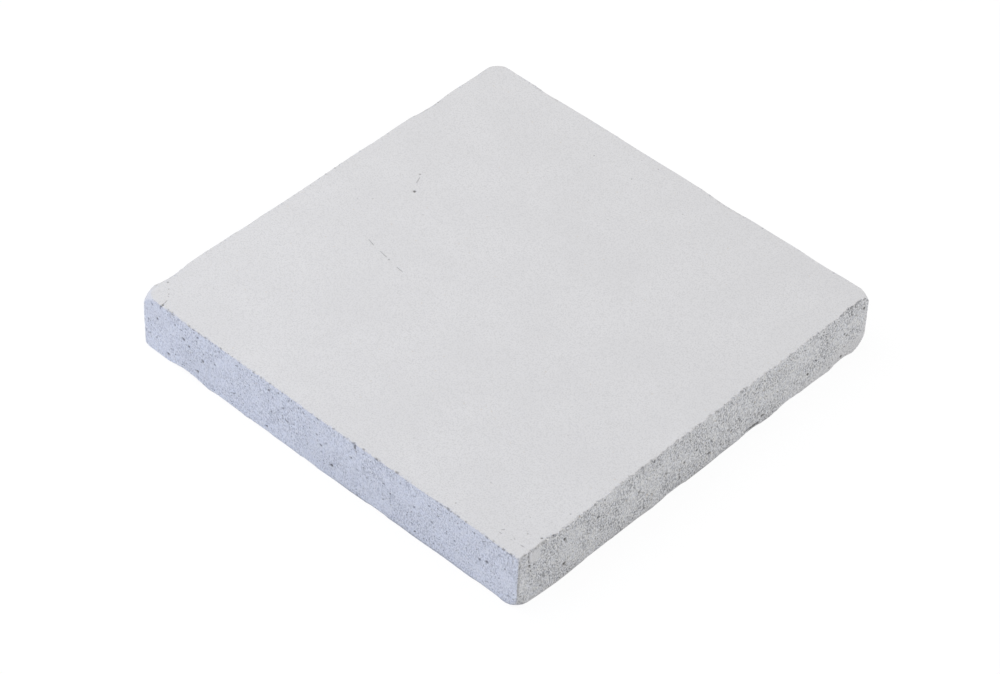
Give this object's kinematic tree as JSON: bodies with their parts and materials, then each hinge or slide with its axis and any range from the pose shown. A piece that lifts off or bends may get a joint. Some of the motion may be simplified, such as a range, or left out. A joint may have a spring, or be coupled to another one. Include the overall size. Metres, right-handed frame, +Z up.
{
  "type": "fire-resistant board",
  "caption": "Thick square board of porous fire-resistant mineral material, with a smooth flat face and rough sides, for lining, packing or insulating against fire.",
  "frame": {"origin": "middle of the underside, the flat face that the board lies on", "axes": "+Z up through the thickness, from the underside to the smooth face; +X and +Y along the sides"},
  "size_m": [0.3006, 0.301, 0.041],
  "materials": {
    "mineral": "matte off-white cast mineral, smooth on the broad face and granular with small pores on the sides"
  },
  "bodies": {
    "root": {"board": "mineral"}
  },
  "joints": []
}
